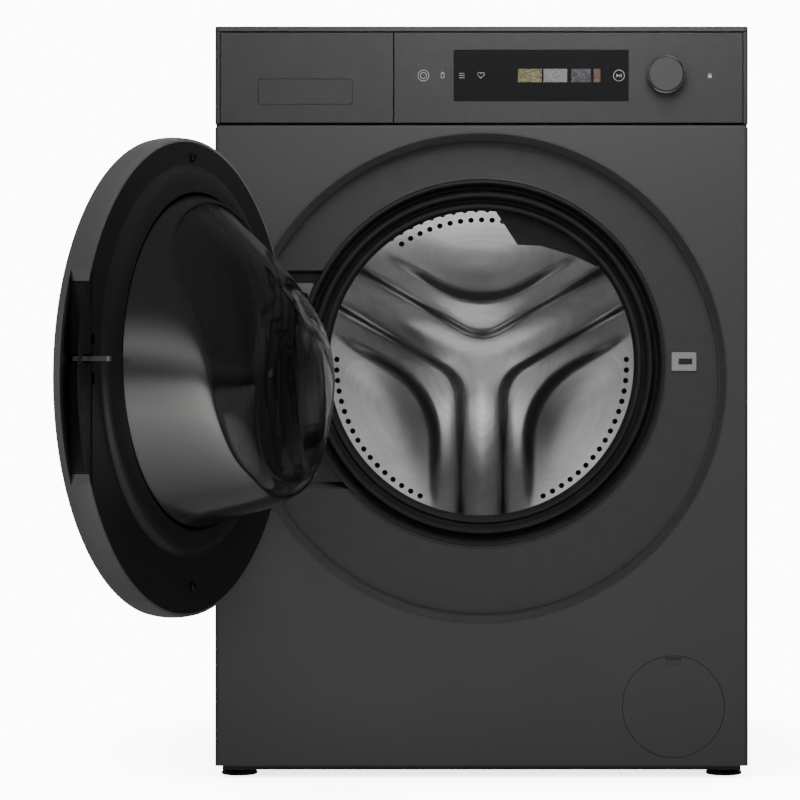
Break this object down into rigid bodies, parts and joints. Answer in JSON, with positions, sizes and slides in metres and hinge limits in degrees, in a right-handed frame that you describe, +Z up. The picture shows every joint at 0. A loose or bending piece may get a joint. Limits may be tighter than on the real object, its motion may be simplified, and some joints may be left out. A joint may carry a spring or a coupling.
{
  "type": "front load washing machine",
  "caption": "Free-standing front load washing machine with a round door standing open, a glass bowl, a steel drum, a detergent drawer, a touch display and a dial.",
  "frame": {"origin": "on the floor, under the centre of the cabinet's 600 mm by 600 mm footprint", "axes": "+X to the right as seen from the front, +Y to the back, +Z up; the front face is at y = -0.3 m"},
  "size_m": [0.7211, 1.0701, 0.845],
  "materials": {
    "graphite_steel": "satin powder coat",
    "graphite_plastic": "fine satin",
    "rim_graphite": "satin",
    "galvanised": "galvanised sheet",
    "black_plastic": "fine texture",
    "black_gloss": "gloss",
    "display_glass": "tinted gloss",
    "smoked_pane": "smoked gloss",
    "bowl_glass": "clear",
    "stainless": "bright annealed",
    "hinge_metal": "satin",
    "light_plastic": "satin",
    "grey_rubber": "matt",
    "black_rubber": "matt",
    "tub_plastic": "glass-filled, matt",
    "concrete": "cast",
    "cast_alloy": "as cast",
    "motor_iron": "laminated",
    "spring_steel": "drawn wire",
    "white_plastic": "smooth",
    "circuit": "laminate"
  },
  "bodies": {
    "cabinet": {"side_panel_left": "graphite_steel", "side_panel_right": "graphite_steel", "front_panel": "graphite_steel", "rear_panel": "galvanised", "rear_cover": "galvanised", "top_cover": "graphite_steel", "base_pan": "black_plastic", "cross_rails": "galvanised", "door_surround": "graphite_plastic", "control_fascia": "graphite_plastic", "display_window": "display_glass", "control_board": "circuit", "dispenser_housing": "white_plastic", "inlet_valve": "white_plastic", "valve_hoses": "black_rubber", "mains_gland": "black_plastic", "transit_plugs": "black_plastic", "hinge_bracket": "hinge_metal", "door_lock": "light_plastic", "cabinet_screws": "spring_steel", "suspension_springs": "spring_steel", "damper_cylinders": "black_plastic", "door_gasket": "grey_rubber", "drain_hose": "light_plastic", "drain_pump": "white_plastic"},
    "tub": {"tub_front": "tub_plastic", "tub_rear": "tub_plastic", "counterweight_front": "concrete", "counterweight_top": "concrete", "stator": "motor_iron", "shaft_bearings": "spring_steel", "heater": "stainless", "damper_rods": "white_plastic", "fill_hose": "black_rubber", "sump_hose": "black_rubber", "spray_nozzle": "black_plastic"},
    "drum": {"drum_shell": "stainless", "drum_back": "stainless", "drum_lifters": "light_plastic", "drum_spider": "cast_alloy", "drum_shaft": "spring_steel", "motor_rotor": "motor_iron"},
    "door": {"door_rim": "rim_graphite", "door_cover": "smoked_pane", "door_inner_ring": "black_plastic", "door_glass": "bowl_glass", "door_screws": "black_gloss", "hinge_arm": "hinge_metal"},
    "latch": {"latch_hook": "hinge_metal"},
    "drawer": {"drawer_front": "graphite_plastic", "drawer_tray": "white_plastic"},
    "flap": {"drawer_flap": "graphite_plastic"},
    "dial": {"dial_knob": "rim_graphite"},
    "filter_flap": {"filter_cover": "graphite_steel"},
    "filter": {"filter_cap": "light_plastic"},
    "impeller": {"pump_impeller": "black_plastic"},
    "foot_fl": {"foot_front_left": "black_rubber"},
    "foot_fr": {"foot_front_right": "black_rubber"},
    "foot_rl": {"foot_rear_left": "black_rubber"},
    "foot_rr": {"foot_rear_right": "black_rubber"}
  },
  "joints": [
    {"name": "tub_bounce", "type": "slide", "parent": "cabinet", "child": "tub", "axis": [0, 0, 1], "range_m": [-0.008, 0.008], "stiffness_N_per_m": 30000, "springref_m": 0.0121, "deforming": ["door_gasket", "suspension_springs", "fill_hose", "sump_hose"]},
    {"name": "drum_spin", "type": "hinge", "parent": "tub", "child": "drum", "pos_m": [0, 0.128, 0.4665], "axis": [0, 1, 0], "continuous": true},
    {"name": "door_swing", "type": "hinge", "parent": "cabinet", "child": "door", "pos_m": [-0.2305, -0.303, 0.4495], "axis": [0, 0, 1], "range_deg": [0, 110.8]},
    {"name": "latch_pivot", "type": "hinge", "parent": "door", "child": "latch", "pos_m": [-0.39986, -0.73052, 0.468], "axis": [0, 0, 1], "range_deg": [-6, 0], "stiffness_Nm_per_rad": 0.2, "springref_deg": 17.19},
    {"name": "drawer_slide", "type": "slide", "parent": "cabinet", "child": "drawer", "axis": [0, -1, 0], "range_m": [0, 0.18]},
    {"name": "flap_push", "type": "hinge", "parent": "drawer", "child": "flap", "pos_m": [-0.1983, -0.2975, 0.7832], "axis": [1, 0, 0], "range_deg": [0, 32], "stiffness_Nm_per_rad": 0.05, "springref_deg": -20.05},
    {"name": "dial_turn", "type": "hinge", "parent": "cabinet", "child": "dial", "pos_m": [0.207, -0.3, 0.7906], "axis": [0, -1, 0], "continuous": true},
    {"name": "filter_flap_fold", "type": "hinge", "parent": "cabinet", "child": "filter_flap", "pos_m": [0.2157, -0.3003, 0.026], "axis": [1, 0, 0], "range_deg": [0, 88]},
    {"name": "filter_turn", "type": "hinge", "parent": "cabinet", "child": "filter", "pos_m": [0.2157, -0.28, 0.0797], "axis": [0, -1, 0], "range_deg": [-180, 0]},
    {"name": "impeller_spin", "type": "hinge", "parent": "cabinet", "child": "impeller", "pos_m": [0.2157, -0.16, 0.0797], "axis": [0, 1, 0], "continuous": true},
    {"name": "level_fl", "type": "slide", "parent": "cabinet", "child": "foot_fl", "axis": [0, 0, 1], "range_m": [-0.012, 0]},
    {"name": "level_fr", "type": "slide", "parent": "cabinet", "child": "foot_fr", "axis": [0, 0, 1], "range_m": [-0.012, 0]},
    {"name": "level_rl", "type": "slide", "parent": "cabinet", "child": "foot_rl", "axis": [0, 0, 1], "range_m": [-0.012, 0]},
    {"name": "level_rr", "type": "slide", "parent": "cabinet", "child": "foot_rr", "axis": [0, 0, 1], "range_m": [-0.012, 0]}
  ]
}
